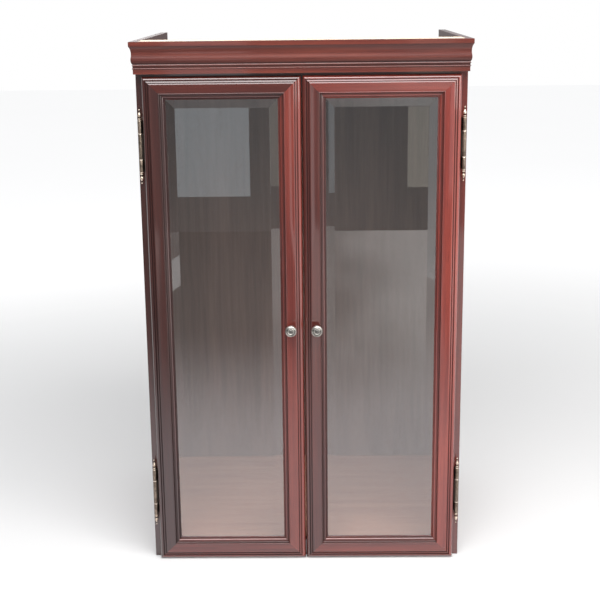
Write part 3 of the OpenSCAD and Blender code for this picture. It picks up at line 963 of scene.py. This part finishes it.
@dataclass
class Door:
    """One door: four mitred members, its glass and beads, and its small fittings."""

    side: Side
    tones: DoorTones
    member: float = 58 * MM
    depth: float = 24 * MM
    sight_width: float = 17 * MM
    rebate: float = 9 * MM
    lip_back: float = 14 * MM
    face_set: float = 0.6 * MM
    screw_clear: float = 0.2 * MM
    screw_pocket: float = 3 * MM

    def section(self) -> list[ProfilePoint]:
        """The section of a member.

        Returns:
            The closed section: how far in from the door's edge, and how far back from its face.
        """
        member = self.member
        sight = member - self.sight_width
        # The last value darkens: toner with painted shade in the quirks, at the feet of the ribs, in the
        # hollow of the sight moulding and on the step down to the glass.
        points = [ProfilePoint(0.6 * MM, self.depth), ProfilePoint(0, self.depth - 0.6 * MM)]
        points += arc((8.5 * MM, 10 * MM), (8.5 * MM, 9 * MM), 180, 268, (0.0, 0.1), 16)
        points += [ProfilePoint(8.7 * MM, 1.1 * MM, 0.3), ProfilePoint(9.2 * MM, 2.9 * MM, 1.0)]
        points += self.ovolo(9.6 * MM, 2.9 * MM, 11.0 * MM)
        points += [ProfilePoint(14.6 * MM, 1.0 * MM, 0.2), ProfilePoint(14.9 * MM, 2.3 * MM, 1.0)]
        points += self.ovolo(15.2 * MM, 2.5 * MM, 9.6 * MM)
        points += [ProfilePoint(20.2 * MM, self.face_set, 0.15)]
        points += [ProfilePoint(sight - 0.3 * MM, self.face_set, 0.1)]
        points += arc((sight + 1.3 * MM, 1.3 * MM), (1.3 * MM, 1.3 * MM), 205, 345, (0.4, 0.1))
        points += [ProfilePoint(sight + 2.7 * MM, 2.3 * MM, 1.0)]
        points += arc((member - 7.5 * MM, 2.2 * MM), (6.4 * MM, 5.2 * MM), 178, 100, (0.9, 0.6), 16)
        points += [ProfilePoint(member - 8.4 * MM, 7.8 * MM, 0.5)]
        points += arc((member - 8.6 * MM, 13.2 * MM), (4.6 * MM, 5.4 * MM), 282, 345, (0.1, 0.1), 14)
        points += [ProfilePoint(member - 4.0 * MM, 12.2 * MM, 1.0)]
        points += [ProfilePoint(member - 3.4 * MM, 12.3 * MM, 0.8)]
        points += [ProfilePoint(member - 0.4 * MM, 12.8 * MM, 0.5), ProfilePoint(member, 13.2 * MM, 0.5)]
        points += [ProfilePoint(member, self.lip_back), ProfilePoint(member - self.rebate, self.lip_back)]
        points += [ProfilePoint(member - self.rebate, self.depth)]
        return points

    @staticmethod
    def ovolo(start: float, foot: float, radius: float) -> list[ProfilePoint]:
        """A shallow rounded rib that rises towards the flat field.

        Args:
            start: How far in from the door's edge it starts.
            foot: How far behind the face its foot lies.
            radius: The radius of its curve.

        Returns:
            Its points, from its foot.
        """
        steep = 40.0
        shallow = 11.0
        across = start + radius * math.sin(math.radians(steep))
        behind = foot + radius * math.cos(math.radians(steep))
        # The foot of the rib is darkened with painted shade.
        return arc((across, behind), (radius, radius), 270 - steep, 270 - shallow, (0.9, 0.0), 10)

    def stick(self, name: str, origin: Vector, run: Vector, inwards: Vector, length: float,
              finish: LacqueredWood) -> None:
        """Builds one mitred member.

        Args:
            name: The node that it stands for.
            origin: The middle of its outer edge, on the door's face.
            run: The direction along the member.
            inwards: The direction from its outer edge to the glass.
            length: Its length along the outer edge.
            finish: Its wood.
        """
        back = Vector((0, 1, 0))

        def at_mitre(sign: int) -> Placing:
            """Where the section lies at one mitred end."""

            def placing(point: ProfilePoint) -> Point:
                """Where one point of the section lies there."""
                reach = sign * (length / 2 - point.across)
                return tuple(origin + inwards * point.across + back * point.rise + run * reach)

            return placing

        piece = swept(f"{name}_stick", self.section(), at_mitre(-1), at_mitre(1))
        if name.endswith("meeting_stile"):
            piece = self.pocketed(piece)
        dress(piece, finish)
        place(piece, self.side.door, "door_cherry", [name])

    def pocketed(self, piece: bpy.types.Object) -> bpy.types.Object:
        """Sinks the pocket for the head of the knob's screw into the back of the meeting stile.

        Args:
            piece: The meeting stile.

        Returns:
            The stile with its pocket.
        """
        low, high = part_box(f"{self.side.word}_knob_screw")
        centre = (low + high) / 2
        radius = (high.x - low.x) / 2 + self.screw_clear
        top = 2 * self.screw_pocket
        outline = [ProfilePoint(0, 0), ProfilePoint(radius, 0)]
        outline += [ProfilePoint(radius, top), ProfilePoint(0, top)]
        cutter = turned("pocket", outline, 40)
        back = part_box(f"{self.side.word}_door_hinge_stile")[1].y
        spot = Matrix.Translation((centre.x, back - self.screw_pocket, centre.z))
        return carved(piece, moved(cutter, spot @ Matrix.Rotation(math.radians(-90), 4, "X")))

    def build(self) -> None:
        """Builds the members, and dresses the glass, beads and small fittings."""
        word = self.side.word
        sign = self.side.value
        stile_low, stile_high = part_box(f"{word}_door_hinge_stile")
        meet_low, meet_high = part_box(f"{word}_door_meeting_stile")
        face = stile_low.y
        middle = (stile_low.z + stile_high.z) / 2
        height = stile_high.z - stile_low.z
        outer = stile_high.x if sign > 0 else stile_low.x
        inner = meet_low.x if sign > 0 else meet_high.x
        width = abs(outer - inner)
        centre = (outer + inner) / 2
        up = Vector((0, 0, 1))
        right = Vector((1, 0, 0))
        seed = 50 + 10 * sign
        self.stick(f"{word}_door_hinge_stile", Vector((outer, face, middle)), up, right * -sign, height,
                   LacqueredWood("door_stile", Grain.UP, seed + 1, self.tones.hinge_stile))
        self.stick(f"{word}_door_meeting_stile", Vector((inner, face, middle)), up, right * sign, height,
                   LacqueredWood("door_stile", Grain.UP, seed + 2, self.tones.meeting_stile))
        self.stick(f"{word}_door_top_rail", Vector((centre, face, stile_high.z)), right, -up, width,
                   LacqueredWood("door_rail", Grain.ACROSS, seed + 3, self.tones.top_rail))
        self.stick(f"{word}_door_bottom_rail", Vector((centre, face, stile_low.z)), right, up, width,
                   LacqueredWood("door_rail", Grain.ACROSS, seed + 4, self.tones.bottom_rail))
        dress_node(f"{word}_door_glass", GLASS)
        dress_node(f"{word}_side_glass_beads", LacqueredWood("bead", Grain.UP, seed + 5), 0.6 * MM)
        dress_node(f"{word}_cross_glass_beads", LacqueredWood("bead", Grain.ACROSS, seed + 6), 0.6 * MM)
        dress_node(f"{word}_strike_plate", STEEL, 0.3 * MM)
        dress_node(f"{word}_door_bumpers", FELT, 0.3 * MM)
        LOG.info("%s door built", word)


# ---------------------------------------------------------------- hinges


@dataclass
class Hinge:
    """One steeple-tip hinge: its pin, its two leaves and its lower tip."""

    side: Side
    level: str
    barrel: float = 4.4 * MM
    tip: float = 30 * MM
    knuckle: float = 32 * MM
    neck: float = 2.2 * MM
    ring: float = 3.8 * MM
    vase: float = 4.2 * MM
    bead: float = 1.7 * MM
    waist: float = 0.9 * MM
    shaft: float = 2.5 * MM

    def tip_outline(self) -> list[ProfilePoint]:
        """The outline of a turned tip: collar, ring, vase and bead.

        Returns:
            Radius and height of each point, from the foot's middle to the top.
        """
        neck = self.neck
        bead = self.bead
        top = self.tip
        points = [ProfilePoint(0, 0), ProfilePoint(self.barrel + 0.1 * MM, 0, 0.8)]
        points += arc((self.barrel - 0.4 * MM, 0.8 * MM), (0.8 * MM, 0.8 * MM), -80, 80, (0.0, 0.0), 8)
        points += [ProfilePoint(neck + 0.4 * MM, 0.085 * top, 1.0), ProfilePoint(neck, 0.12 * top, 1.0)]
        points += arc((neck, 0.175 * top), (self.ring - neck, 0.05 * top), -80, 80, (0.4, 0.4), 10)
        points += [ProfilePoint(neck, 0.235 * top, 1.0), ProfilePoint(neck, 0.27 * top, 1.0)]
        points += arc((0, 0.48 * top), (self.vase, 0.16 * top), -58, -8, (0.7, 0.0), 10)
        points += arc((0, 0.48 * top), (self.vase, 0.16 * top), 0, 42, (0.0, 0.1), 9)
        points += [ProfilePoint(2 * self.waist, 0.7 * top, 0.4)]
        points += [ProfilePoint(self.waist, top - 5.0 * MM, 1.0)]
        points += arc((0, top - bead), (bead, bead), -50, 90, (0.2, 0.0), 12)
        points[-1] = ProfilePoint(0, top, 0.0)
        return points

    def build(self) -> None:
        """Turns the pin with its upper tip, and dresses both leaves."""
        name = f"{self.side.word}_{self.level}"
        low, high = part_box(f"{name}_hinge_pin")
        centre = (low + high) / 2
        base = high.z - self.tip
        tip = turned(f"{name}_pin_and_tip", self.tip_outline())
        moved(tip, Matrix.Translation((centre.x, centre.y, base)))
        outline = [ProfilePoint(0, low.z), ProfilePoint(self.shaft - 0.2 * MM, low.z)]
        outline += [ProfilePoint(self.shaft, low.z + 0.4 * MM), ProfilePoint(self.shaft, base)]
        outline += [ProfilePoint(0, base)]
        shaft = moved(turned("shaft", outline), Matrix.Translation((centre.x, centre.y, 0)))
        piece = joined(f"{name}_pin_and_tip", [tip, shaft])
        dress(piece, BRASS_TIP_HIGHLIGHT)
        place(piece, "cabinet", "antique_brass", [f"{name}_hinge_pin"])
        leaf_low, leaf_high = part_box(f"{name}_frame_leaf")
        joints = (leaf_low.z + self.knuckle, leaf_high.z - self.knuckle)
        # The leaves get painted shade outside the barrel and a painted highlight ring at each knuckle
        # joint.
        leaf = replace(BRASS, name=f"{name}_leaves", axis=(centre.x, centre.y), joints=joints)
        dress_node(f"{name}_frame_leaf", leaf, 0.35 * MM, 2)
        dress_node(f"{name}_door_leaf", leaf, 0.35 * MM, 2)


@dataclass
class HingeHardware:
    """What the four hinges share: the lower tips and the slotted screws."""

    head: float = 3.4 * MM
    core: float = 1.6 * MM
    length: float = 14 * MM
    slot_width: float = 0.9 * MM
    slot_depth: float = 0.9 * MM
    pitch: float = 46 * MM
    inset: float = 22 * MM

    def lower_tips(self) -> None:
        """Turns the four lower tips as one piece."""
        tips = []
        for side in Side:
            for level in LEVELS:
                name = f"{side.word}_{level}"
                barrel_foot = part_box(f"{name}_frame_leaf")[0].z
                pin_low, pin_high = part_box(f"{name}_hinge_pin")
                centre = (pin_low + pin_high) / 2
                tip = turned(f"{name}_lower_tip", Hinge(side, level).tip_outline())
                flip = Matrix.Rotation(math.pi, 4, "X")
                tips.append(moved(tip, Matrix.Translation((centre.x, centre.y, barrel_foot)) @ flip))
        piece = joined("lower_turned_tips", tips)
        dress(piece, BRASS_TIP_HIGHLIGHT)
        place(piece, "cabinet", "antique_brass", ["hinge_lower_tips"])

    def screw(self, turn: float) -> bpy.types.Object:
        """A slotted countersunk screw that points along -Z, with the face of its head just below Z = 0.

        Args:
            turn: How far its slot is turned, in radians.

        Returns:
            The screw.
        """
        core = self.core
        taper = self.head - core
        face = -0.02 * MM
        outline = [ProfilePoint(0, -self.length), ProfilePoint(0.4 * core, -self.length + core)]
        outline += [ProfilePoint(core, -self.length + 3 * core), ProfilePoint(core, -taper, 0.5)]
        outline += [ProfilePoint(self.head - 0.1 * MM, -0.15 * MM, 0.9)]
        outline += [ProfilePoint(self.head - 0.3 * MM, face), ProfilePoint(0, face)]
        body = turned("screw", outline, 28)
        half = Vector((self.head * 1.2, self.slot_width / 2, self.slot_depth))
        body = carved(body, block("slot", -half, half))
        return moved(body, Matrix.Rotation(turn, 4, "Z"))

    def screws(self, name: str, node: str, body: str, places: Sequence[Matrix]) -> None:
        """Builds a group of screws as one piece.

        Args:
            name: The piece's name.
            node: The node that it stands for.
            body: The body that it rides on.
            places: Where each screw stands.
        """
        draw = random.Random(name)
        parts = [moved(self.screw(draw.uniform(0, math.pi)), matrix) for matrix in places]
        piece = joined(name, parts)
        dress(shaded(piece, 30.0), BRASS_SCREW)
        place(piece, body, "brass_screws", [node])

    def build(self) -> None:
        """Builds the lower tips and all the hinge screws."""
        self.lower_tips()
        forwards = Matrix.Rotation(math.radians(90), 4, "X")
        frame_places = []
        for side in Side:
            outwards = Matrix.Rotation(math.radians(90 * side.value), 4, "Y")
            face_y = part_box(f"{side.word}_frame_stile")[0].y
            stile_low, stile_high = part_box(f"{side.word}_door_hinge_stile")
            edge_x = stile_high.x if side is Side.RIGHT else stile_low.x
            door_places = []
            for level in LEVELS:
                low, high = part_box(f"{side.word}_{level}_frame_leaf")
                leaf_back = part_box(f"{side.word}_{level}_door_leaf")[1].y
                pin_low, pin_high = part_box(f"{side.word}_{level}_hinge_pin")
                axis = (pin_low + pin_high) / 2
                for i in (-1, 0, 1):
                    z = (low.z + high.z) / 2 + i * self.pitch
                    spot = Matrix.Translation((axis.x - side.value * self.inset, face_y, z))
                    frame_places.append(spot @ forwards)
                    spot = Matrix.Translation((edge_x, (axis.y + leaf_back) / 2, z))
                    door_places.append(spot @ outwards)
            name = f"{side.word}_door_hinge_screws"
            self.screws(name, f"{side.word}_door_leaf_screws", side.door, door_places)
        self.screws("frame_hinge_screws", "frame_leaf_screws", "cabinet", frame_places)


# ---------------------------------------------------------------- knobs


@dataclass
class Knob:
    """A round ringed knob on its rose, with its screw through the stile."""

    side: Side
    head: float = 13 * MM
    stem: float = 5.5 * MM
    rose: float = 3 * MM

    def outline(self, radius: float, length: float) -> list[ProfilePoint]:
        """Radius and distance from the rose's foot of each point of the knob.

        Args:
            radius: The knob's radius.
            length: Its length, with the rose.

        Returns:
            The outline, from the stem's foot to the middle of the face.
        """
        stem = self.stem
        foot = self.rose
        neck = length - self.head
        points = [ProfilePoint(0, foot), ProfilePoint(stem, foot, 0.9)]
        points += [ProfilePoint(stem - 0.3 * MM, foot + 1.2 * MM, 0.4)]
        points += arc((stem + 3.2 * MM, neck - 5 * MM), (4.6 * MM, 5.5 * MM), 205, 130, (0.4, 0.7), 10)
        points += [ProfilePoint(radius - 5.6 * MM, neck + 1.2 * MM, 0.6)]
        points += arc((radius - 4 * MM, length - 6 * MM), (4 * MM, 5.9 * MM), -72, 78, (0.25, 0.0), 22)
        points += [ProfilePoint(radius - 3.9 * MM, length - 0.35 * MM, 0.15)]
        points += [ProfilePoint(radius - 4.7 * MM, length - 2.0 * MM, 1.0)]
        points += [ProfilePoint(radius - 5.4 * MM, length - 2.1 * MM, 1.0)]
        points += arc((radius - 7.2 * MM, length - 2.2 * MM), (1.6 * MM, 1.6 * MM), 10, 170, (0.0, 0.1), 14)
        points += [ProfilePoint(radius - 9.0 * MM, length - 2.7 * MM, 1.0)]
        # The dome in the middle darkens towards its top: a painted dark reflection.
        points += arc((0, length - 2.9 * MM), (radius - 9.7 * MM, 2.6 * MM), 0, 90, (0.5, 0.75), 16)
        points[-1] = ProfilePoint(0, length - 0.3 * MM, 1.0)
        return points

    def rose_outline(self, radius: float) -> list[ProfilePoint]:
        """The outline of the rose.

        Args:
            radius: The rose's radius.

        Returns:
            Radius and distance from the door of each point.
        """
        inner = self.stem
        top = self.rose - 0.05 * MM
        points = [ProfilePoint(0, 0), ProfilePoint(radius - 0.1 * MM, 0, 0.9)]
        points += [ProfilePoint(radius, 0.3 * MM, 0.5)]
        points += arc((radius - 1.2 * MM, 0.8 * MM), (1.2 * MM, 1.0 * MM), 0, 85, (0.3, 0.3), 8)
        points += [ProfilePoint(radius - 1.9 * MM, 1.6 * MM, 1.0)]
        points += arc((inner + 0.3 * MM, 1.6 * MM), (0.9 * MM, 1.3 * MM), 10, 90, (0.5, 0.4), 8)
        points += [ProfilePoint(inner, top, 0.9), ProfilePoint(0, top)]
        return points

    def build(self) -> None:
        """Turns the knob and its rose, and dresses the screw."""
        word = self.side.word
        low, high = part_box(f"{word}_knob")
        rose_low, rose_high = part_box(f"{word}_knob_rose")
        centre = (low + high) / 2
        foot = rose_high.y
        length = foot - low.y
        out = Matrix.Translation((centre.x, foot, centre.z)) @ Matrix.Rotation(math.radians(90), 4, "X")
        knob = turned(f"{word}_ringed_knob", self.outline((high.x - low.x) / 2, length), 72)
        dress(moved(knob, out), PEWTER)
        place(knob, self.side.door, "pewter", [f"{word}_knob"])
        rose = turned(f"{word}_ringed_rose", self.rose_outline((rose_high.x - rose_low.x) / 2))
        dress(moved(rose, out), PEWTER)
        place(rose, self.side.door, "pewter", [f"{word}_knob_rose"])
        dress_node(f"{word}_knob_screw", STEEL, 0.25 * MM)


# ---------------------------------------------------------------- stage


@dataclass(frozen=True)
class SoftLight:
    """One soft rectangular light that the camera itself doesn't see."""

    name: str
    place: Point
    aim: Point
    size: tuple[float, float]
    glow: float
    colour: Colour = (1.0, 1.0, 1.0)

    def hang(self) -> None:
        """Hangs the light, whose face is as bright as lit white paper when its glow is about 1."""
        data = bpy.data.lights.new(self.name, "AREA")
        data.shape = "RECTANGLE"
        data.size, data.size_y = self.size
        data.energy = self.glow * math.pi * self.size[0] * self.size[1]
        data.color = self.colour
        obj = bpy.data.objects.new(self.name, data)
        bpy.context.scene.collection.objects.link(obj)
        turn = (Vector(self.aim) - Vector(self.place)).to_track_quat("-Z", "Y").to_matrix()
        obj.matrix_world = Matrix.Translation(self.place) @ turn.to_4x4()
        obj.visible_camera = False


SOFT_LIGHTS = (
    SoftLight("overhead", (0.3, -2.0, 3.0), (0.0, -0.6, 0.3), (3.4, 2.2), 6.5),
    SoftLight("window", (3.2, -2.4, 1.9), (0.2, 0.0, 0.8), (1.6, 2.2), 5.0, (1.0, 0.95, 0.9)),
    SoftLight("fill", (-3.6, -2.6, 1.8), (0.0, 0.0, 0.7), (1.6, 2.0), 1.0, (0.95, 0.97, 1.0)),
    SoftLight("rear", (-1.5, 3.6, 2.6), (0.0, 0.3, 0.6), (2.4, 2.0), 1.6),
    SoftLight("left_pane", (-0.62, -4.5, 0.75), (-0.62, 0.0, 0.75), (0.5, 1.0), 0.6, (0.84, 0.93, 1.0)),
    SoftLight("right_pane", (0.76, -4.5, 0.85), (0.76, 0.0, 0.85), (0.28, 1.1), 0.42, (1.0, 0.93, 0.8)),
)


@dataclass
class Studio:
    """A pale floor, a pale surround, boards that only gloss sees, soft lights and the camera."""

    place: Point = (0.0270, -3.1408, 1.5219)
    yaw: float = -0.0124
    pitch: float = 0.2321
    roll: float = -0.0111
    lens: float = 68.28
    shift: float = -0.07
    floor_size: float = 30.0
    floor_light: Colour = (0.66, 0.66, 0.66)
    floor_dark: Colour = (0.62, 0.62, 0.62)
    near_glow: Colour = (0.12, 0.12, 0.12)
    far_glow: Colour = (0.62, 0.62, 0.62)
    board_paint: Colour = (0.03, 0.03, 0.03)
    surround_seen: Colour = (1.0, 1.0, 1.0)
    surround_light: Colour = (0.97, 0.98, 1.0)
    ambient: float = 0.5

    def camera(self) -> None:
        """Puts the camera in front of the armoire, a little above its crown."""
        data = bpy.data.cameras.new("camera")
        data.sensor_width = 36.0
        data.lens = self.lens
        data.shift_y = self.shift
        data.clip_end = 100.0
        obj = bpy.data.objects.new("camera", data)
        bpy.context.scene.collection.objects.link(obj)
        level = Vector((math.sin(self.yaw), math.cos(self.yaw), 0.0))
        ahead = level * math.cos(self.pitch) + Vector((0.0, 0.0, -math.sin(self.pitch)))
        right = Vector((math.cos(self.yaw), -math.sin(self.yaw), 0.0))
        up = right.cross(ahead)
        rolled_right = right * math.cos(self.roll) + up * math.sin(self.roll)
        rolled_up = up * math.cos(self.roll) - right * math.sin(self.roll)
        turn = Matrix((rolled_right, rolled_up, -ahead)).transposed()
        obj.matrix_world = Matrix.Translation(self.place) @ turn.to_4x4()
        bpy.context.scene.camera = obj

    def floor(self) -> None:
        """Lays the floor."""
        build = bmesh.new()
        bmesh.ops.create_grid(build, x_segments=1, y_segments=1, size=self.floor_size / 2)
        obj = mesh_object("floor", build)
        graph = Graph("floor_paint")
        white = graph.mix(graph.noise(graph.place(0.7), 2.0), self.floor_dark, self.floor_light)
        glow = graph.mix(graph.length(graph.place()).stepped(0.9, 4.5), self.near_glow, self.far_glow)
        paint = graph.finish(Base_Color=white, Roughness=0.7, Emission_Color=glow, Emission_Strength=1.0)
        obj.data.materials.append(paint)

    def board(self, name: str, low: Point, high: Point, graph: Graph, glow: Signal) -> None:
        """Stands a faintly glowing board that only shows in gloss and glass.

        Args:
            name: The board's name.
            low: Its lowest corner.
            high: Its highest corner.
            graph: The tree of its material.
            glow: The light that it gives off.
        """
        obj = block(name, Vector(low), Vector(high))
        light = {"Emission_Color": glow, "Emission_Strength": 1.0}
        obj.data.materials.append(graph.finish(Base_Color=self.board_paint, Roughness=0.9, **light))
        for ray in ("camera", "diffuse", "shadow"):
            setattr(obj, f"visible_{ray}", False)

    def backdrop(self) -> None:
        """Stands a dark backdrop behind the camera: a painted reflection that glows unevenly and only gloss
        and glass see.
        """
        graph = Graph("backdrop_cloth")
        uneven_glow = graph.noise(graph.place((2.5, 2.5, 0.4)), 2.0)
        height = (graph.coordinate("Z") + uneven_glow * 0.3).stepped(0.0, 1.4)
        glow = graph.mix(height, (0.2, 0.19, 0.185), (0.17, 0.175, 0.18))
        self.board("dark_backdrop", (-1.35, -4.7, 0.0), (1.35, -4.6, 1.6), graph, glow)

    def sheen(self) -> None:
        """Lays what gloss sees of the floor in front: bright close by, darker far off at the left."""
        graph = Graph("floor_sheen")
        mottle = graph.noise(graph.place((1.8, 0.9, 1.0))) * 0.5
        across = (graph.coordinate("X") + mottle).stepped(0.1, 0.9)
        far = graph.mix(across, (0.14, 0.13, 0.125), (0.95, 0.9, 0.88))
        ahead = (graph.coordinate("Y") + mottle * 0.8).stepped(-2.3, -0.55)
        glow = graph.mix(ahead, far, (1.05, 1.0, 1.03))
        self.board("floor_sheen", (-1.35, -4.6, 0.001), (1.35, -0.34, 0.002), graph, glow)

    def flag(self) -> None:
        """Stands a dark board at the left: a painted reflection that glows faintly and unevenly and only
        gloss and glass see.
        """
        graph = Graph("flag_cloth")
        uneven_glow = graph.noise(graph.place((1.2, 1.2, 0.5)), 2.0)
        glow = graph.mix(uneven_glow, (0.04, 0.036, 0.036), (0.13, 0.12, 0.125))
        self.board("left_flag", (-1.65, -4.6, 0.0), (-1.6, -0.5, 1.75), graph, glow)

    def surround(self) -> None:
        """Makes the plain pale surround: white behind the object, softer as a light."""
        world = bpy.data.worlds.new("surround")
        world.use_nodes = True
        tree = world.node_tree
        tree.nodes.clear()
        path = tree.nodes.new("ShaderNodeLightPath")
        seen = tree.nodes.new("ShaderNodeBackground")
        seen.inputs["Color"].default_value = (*self.surround_seen, 1.0)
        lit = tree.nodes.new("ShaderNodeBackground")
        lit.inputs["Color"].default_value = (*self.surround_light, 1.0)
        lit.inputs["Strength"].default_value = self.ambient
        mix = tree.nodes.new("ShaderNodeMixShader")
        out = tree.nodes.new("ShaderNodeOutputWorld")
        tree.links.new(path.outputs["Is Camera Ray"], mix.inputs[0])
        tree.links.new(lit.outputs[0], mix.inputs[1])
        tree.links.new(seen.outputs[0], mix.inputs[2])
        tree.links.new(mix.outputs[0], out.inputs["Surface"])
        bpy.context.scene.world = world

    def build(self) -> None:
        """Sets the whole stage."""
        self.camera()
        self.floor()
        self.surround()
        self.backdrop()
        self.sheen()
        self.flag()
        for soft_light in SOFT_LIGHTS:
            soft_light.hang()
        bpy.context.scene.view_settings.view_transform = "Standard"


def main() -> None:
    """Builds the stage and every sub-assembly."""
    logging.basicConfig(level=logging.INFO, format="%(name)s: %(message)s")
    Studio().build()
    Carcass().build()
    Crown().build()
    for side in Side:
        Door(side, DOOR_TONES_AND_SHADE[side]).build()
        Knob(side).build()
        for level in LEVELS:
            Hinge(side, level).build()
    HingeHardware().build()


if __name__ == "__main__":
    main()
